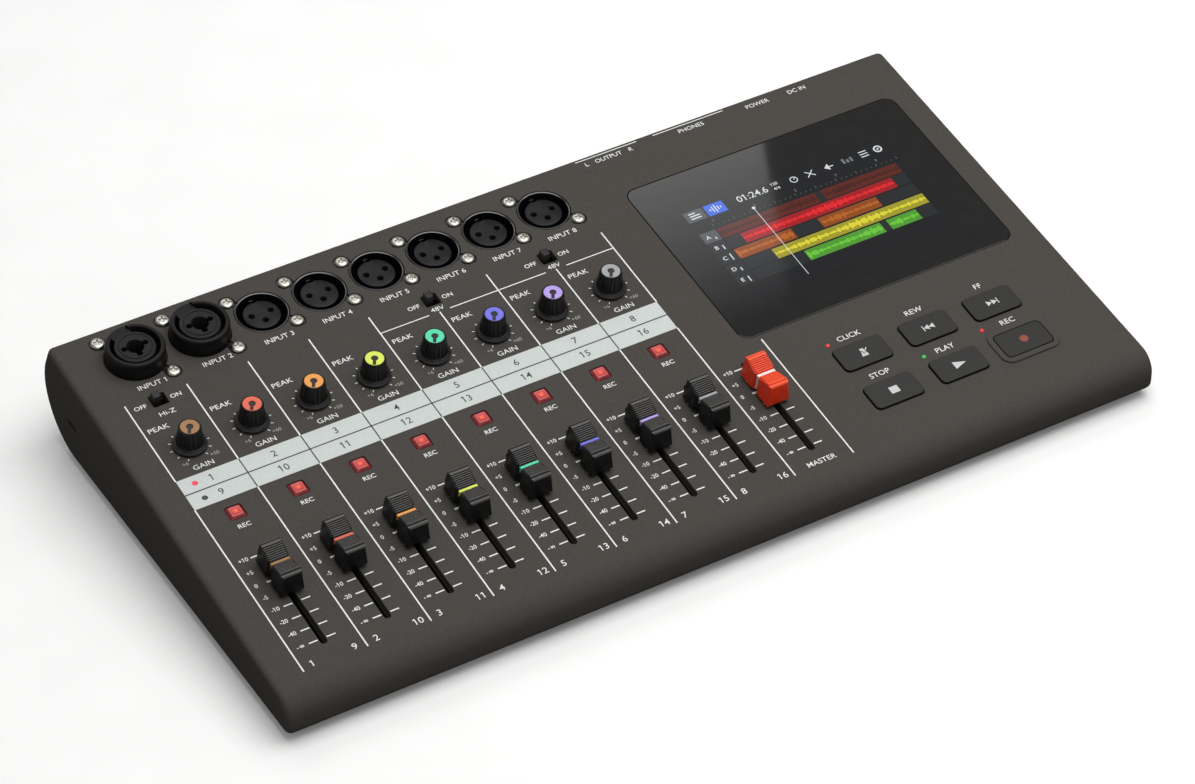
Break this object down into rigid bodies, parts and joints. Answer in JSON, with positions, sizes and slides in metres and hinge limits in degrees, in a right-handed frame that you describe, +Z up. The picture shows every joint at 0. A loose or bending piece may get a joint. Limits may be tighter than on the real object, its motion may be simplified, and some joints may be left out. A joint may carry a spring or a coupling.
{
  "type": "digital multitrack recorder",
  "caption": "Desktop multitrack recorder: sloped panel with input sockets, gain knobs, faders, lit record-arm buttons, transport keys and a flush display over a hollow case.",
  "frame": {"origin": "on the surface it stands on, under the middle of its box", "axes": "+X to the right along the width, +Y to the back, +Z up; the control panel slopes up toward +Y by 8.3 degrees"},
  "size_m": [0.378, 0.206, 0.053],
  "materials": {
    "case_paint": "warm dark grey satin paint",
    "black_plastic": "black moulded plastic",
    "foot_rubber": "matte black",
    "circuit_board": "green solder mask",
    "display_glass": "glossy, tinted",
    "display_panel": "lit colour display",
    "socket_metal": "nickel plated",
    "fader_black": "satin black, coloured stripe",
    "fader_red": "satin red, white stripe",
    "knob_black": "satin black, coloured cap",
    "arm_red": "translucent red, lit from below",
    "transport_grey": "satin dark grey"
  },
  "bodies": {
    "case": {"top_cover": "case_paint", "bottom_cover": "case_paint", "foot_front_left": "foot_rubber", "foot_front_right": "foot_rubber", "foot_back_left": "foot_rubber", "foot_back_right": "foot_rubber", "main_board": "circuit_board", "control_board": "circuit_board", "display_glass": "display_glass", "display_module": "display_panel", "combo_socket_1": "black_plastic", "combo_socket_2": "black_plastic", "three_pin_socket_3": "black_plastic", "three_pin_socket_4": "black_plastic", "three_pin_socket_5": "black_plastic", "three_pin_socket_6": "black_plastic", "three_pin_socket_7": "black_plastic", "three_pin_socket_8": "black_plastic", "output_jack_left": "black_plastic", "output_jack_right": "black_plastic", "phones_jack": "black_plastic", "power_inlet": "black_plastic", "data_socket": "socket_metal", "card_socket": "socket_metal"},
    "fader_cap_1": {"fader_cap_1": "fader_black"},
    "fader_cap_2": {"fader_cap_2": "fader_black"},
    "fader_cap_3": {"fader_cap_3": "fader_black"},
    "fader_cap_4": {"fader_cap_4": "fader_black"},
    "fader_cap_5": {"fader_cap_5": "fader_black"},
    "fader_cap_6": {"fader_cap_6": "fader_black"},
    "fader_cap_7": {"fader_cap_7": "fader_black"},
    "fader_cap_8": {"fader_cap_8": "fader_black"},
    "fader_cap_master": {"fader_cap_master": "fader_red"},
    "gain_knob_1": {"gain_knob_1": "knob_black"},
    "gain_knob_2": {"gain_knob_2": "knob_black"},
    "gain_knob_3": {"gain_knob_3": "knob_black"},
    "gain_knob_4": {"gain_knob_4": "knob_black"},
    "gain_knob_5": {"gain_knob_5": "knob_black"},
    "gain_knob_6": {"gain_knob_6": "knob_black"},
    "gain_knob_7": {"gain_knob_7": "knob_black"},
    "gain_knob_8": {"gain_knob_8": "knob_black"},
    "arm_button_1": {"arm_button_1": "arm_red"},
    "arm_button_2": {"arm_button_2": "arm_red"},
    "arm_button_3": {"arm_button_3": "arm_red"},
    "arm_button_4": {"arm_button_4": "arm_red"},
    "arm_button_5": {"arm_button_5": "arm_red"},
    "arm_button_6": {"arm_button_6": "arm_red"},
    "arm_button_7": {"arm_button_7": "arm_red"},
    "arm_button_8": {"arm_button_8": "arm_red"},
    "stop_button": {"stop_button": "transport_grey"},
    "play_button": {"play_button": "transport_grey"},
    "record_button": {"record_button": "transport_grey"},
    "click_button": {"click_button": "transport_grey"},
    "rewind_button": {"rewind_button": "transport_grey"},
    "fast_forward_button": {"fast_forward_button": "transport_grey"},
    "high_impedance_switch": {"high_impedance_switch": "black_plastic"},
    "phantom_switch_5_6": {"phantom_switch_5_6": "black_plastic"},
    "phantom_switch_7_8": {"phantom_switch_7_8": "black_plastic"},
    "power_switch": {"power_switch": "black_plastic"},
    "phones_volume_knob": {"phones_volume_knob": "knob_black"}
  },
  "joints": [
    {"name": "fader_cap_1_slide", "type": "slide", "parent": "case", "child": "fader_cap_1", "axis": [0, 0.9895, 0.1444], "range_m": [-0.0325, 0.013]},
    {"name": "fader_cap_2_slide", "type": "slide", "parent": "case", "child": "fader_cap_2", "axis": [0, 0.9895, 0.1444], "range_m": [-0.0325, 0.013]},
    {"name": "fader_cap_3_slide", "type": "slide", "parent": "case", "child": "fader_cap_3", "axis": [0, 0.9895, 0.1444], "range_m": [-0.0325, 0.013]},
    {"name": "fader_cap_4_slide", "type": "slide", "parent": "case", "child": "fader_cap_4", "axis": [0, 0.9895, 0.1444], "range_m": [-0.0325, 0.013]},
    {"name": "fader_cap_5_slide", "type": "slide", "parent": "case", "child": "fader_cap_5", "axis": [0, 0.9895, 0.1444], "range_m": [-0.0325, 0.013]},
    {"name": "fader_cap_6_slide", "type": "slide", "parent": "case", "child": "fader_cap_6", "axis": [0, 0.9895, 0.1444], "range_m": [-0.0325, 0.013]},
    {"name": "fader_cap_7_slide", "type": "slide", "parent": "case", "child": "fader_cap_7", "axis": [0, 0.9895, 0.1444], "range_m": [-0.0325, 0.013]},
    {"name": "fader_cap_8_slide", "type": "slide", "parent": "case", "child": "fader_cap_8", "axis": [0, 0.9895, 0.1444], "range_m": [-0.0325, 0.013]},
    {"name": "fader_cap_master_slide", "type": "slide", "parent": "case", "child": "fader_cap_master", "axis": [0, 0.9895, 0.1444], "range_m": [-0.0325, 0.013]},
    {"name": "gain_knob_1_turn", "type": "hinge", "parent": "case", "child": "gain_knob_1", "pos_m": [-0.16305, 0.02328, 0.03725], "axis": [0, -0.1444, 0.9895], "range_deg": [-300, 0]},
    {"name": "gain_knob_2_turn", "type": "hinge", "parent": "case", "child": "gain_knob_2", "pos_m": [-0.13715, 0.02328, 0.03725], "axis": [0, -0.1444, 0.9895], "range_deg": [-300, 0]},
    {"name": "gain_knob_3_turn", "type": "hinge", "parent": "case", "child": "gain_knob_3", "pos_m": [-0.11125, 0.02328, 0.03725], "axis": [0, -0.1444, 0.9895], "range_deg": [-300, 0]},
    {"name": "gain_knob_4_turn", "type": "hinge", "parent": "case", "child": "gain_knob_4", "pos_m": [-0.08535, 0.02328, 0.03725], "axis": [0, -0.1444, 0.9895], "range_deg": [-300, 0]},
    {"name": "gain_knob_5_turn", "type": "hinge", "parent": "case", "child": "gain_knob_5", "pos_m": [-0.05945, 0.02328, 0.03725], "axis": [0, -0.1444, 0.9895], "range_deg": [-300, 0]},
    {"name": "gain_knob_6_turn", "type": "hinge", "parent": "case", "child": "gain_knob_6", "pos_m": [-0.03355, 0.02328, 0.03725], "axis": [0, -0.1444, 0.9895], "range_deg": [-300, 0]},
    {"name": "gain_knob_7_turn", "type": "hinge", "parent": "case", "child": "gain_knob_7", "pos_m": [-0.00765, 0.02328, 0.03725], "axis": [0, -0.1444, 0.9895], "range_deg": [-300, 0]},
    {"name": "gain_knob_8_turn", "type": "hinge", "parent": "case", "child": "gain_knob_8", "pos_m": [0.01825, 0.02328, 0.03725], "axis": [0, -0.1444, 0.9895], "range_deg": [-300, 0]},
    {"name": "arm_button_1_press", "type": "slide", "parent": "case", "child": "arm_button_1", "axis": [0, 0.1444, -0.9895], "range_m": [0, 0.001], "stiffness_N_per_m": 300},
    {"name": "arm_button_2_press", "type": "slide", "parent": "case", "child": "arm_button_2", "axis": [0, 0.1444, -0.9895], "range_m": [0, 0.001], "stiffness_N_per_m": 300},
    {"name": "arm_button_3_press", "type": "slide", "parent": "case", "child": "arm_button_3", "axis": [0, 0.1444, -0.9895], "range_m": [0, 0.001], "stiffness_N_per_m": 300},
    {"name": "arm_button_4_press", "type": "slide", "parent": "case", "child": "arm_button_4", "axis": [0, 0.1444, -0.9895], "range_m": [0, 0.001], "stiffness_N_per_m": 300},
    {"name": "arm_button_5_press", "type": "slide", "parent": "case", "child": "arm_button_5", "axis": [0, 0.1444, -0.9895], "range_m": [0, 0.001], "stiffness_N_per_m": 300},
    {"name": "arm_button_6_press", "type": "slide", "parent": "case", "child": "arm_button_6", "axis": [0, 0.1444, -0.9895], "range_m": [0, 0.001], "stiffness_N_per_m": 300},
    {"name": "arm_button_7_press", "type": "slide", "parent": "case", "child": "arm_button_7", "axis": [0, 0.1444, -0.9895], "range_m": [0, 0.001], "stiffness_N_per_m": 300},
    {"name": "arm_button_8_press", "type": "slide", "parent": "case", "child": "arm_button_8", "axis": [0, 0.1444, -0.9895], "range_m": [0, 0.001], "stiffness_N_per_m": 300},
    {"name": "stop_button_press", "type": "slide", "parent": "case", "child": "stop_button", "axis": [0, 0.1444, -0.9895], "range_m": [0, 0.0012], "stiffness_N_per_m": 300},
    {"name": "play_button_press", "type": "slide", "parent": "case", "child": "play_button", "axis": [0, 0.1444, -0.9895], "range_m": [0, 0.0012], "stiffness_N_per_m": 300},
    {"name": "record_button_press", "type": "slide", "parent": "case", "child": "record_button", "axis": [0, 0.1444, -0.9895], "range_m": [0, 0.0012], "stiffness_N_per_m": 300},
    {"name": "click_button_press", "type": "slide", "parent": "case", "child": "click_button", "axis": [0, 0.1444, -0.9895], "range_m": [0, 0.0012], "stiffness_N_per_m": 300},
    {"name": "rewind_button_press", "type": "slide", "parent": "case", "child": "rewind_button", "axis": [0, 0.1444, -0.9895], "range_m": [0, 0.0012], "stiffness_N_per_m": 300},
    {"name": "fast_forward_button_press", "type": "slide", "parent": "case", "child": "fast_forward_button", "axis": [0, 0.1444, -0.9895], "range_m": [0, 0.0012], "stiffness_N_per_m": 300},
    {"name": "high_impedance_switch_slide", "type": "slide", "parent": "case", "child": "high_impedance_switch", "axis": [1, 0, 0], "range_m": [0, 0.0026]},
    {"name": "phantom_switch_5_6_slide", "type": "slide", "parent": "case", "child": "phantom_switch_5_6", "axis": [1, 0, 0], "range_m": [0, 0.0026]},
    {"name": "phantom_switch_7_8_slide", "type": "slide", "parent": "case", "child": "phantom_switch_7_8", "axis": [1, 0, 0], "range_m": [0, 0.0026]},
    {"name": "power_switch_slide", "type": "slide", "parent": "case", "child": "power_switch", "axis": [1, 0, 0], "range_m": [0, 0.003]},
    {"name": "phones_volume_knob_turn", "type": "hinge", "parent": "case", "child": "phones_volume_knob", "pos_m": [0.0855, 0.0915, 0.024], "axis": [0, 1, 0], "range_deg": [0, 300]}
  ]
}
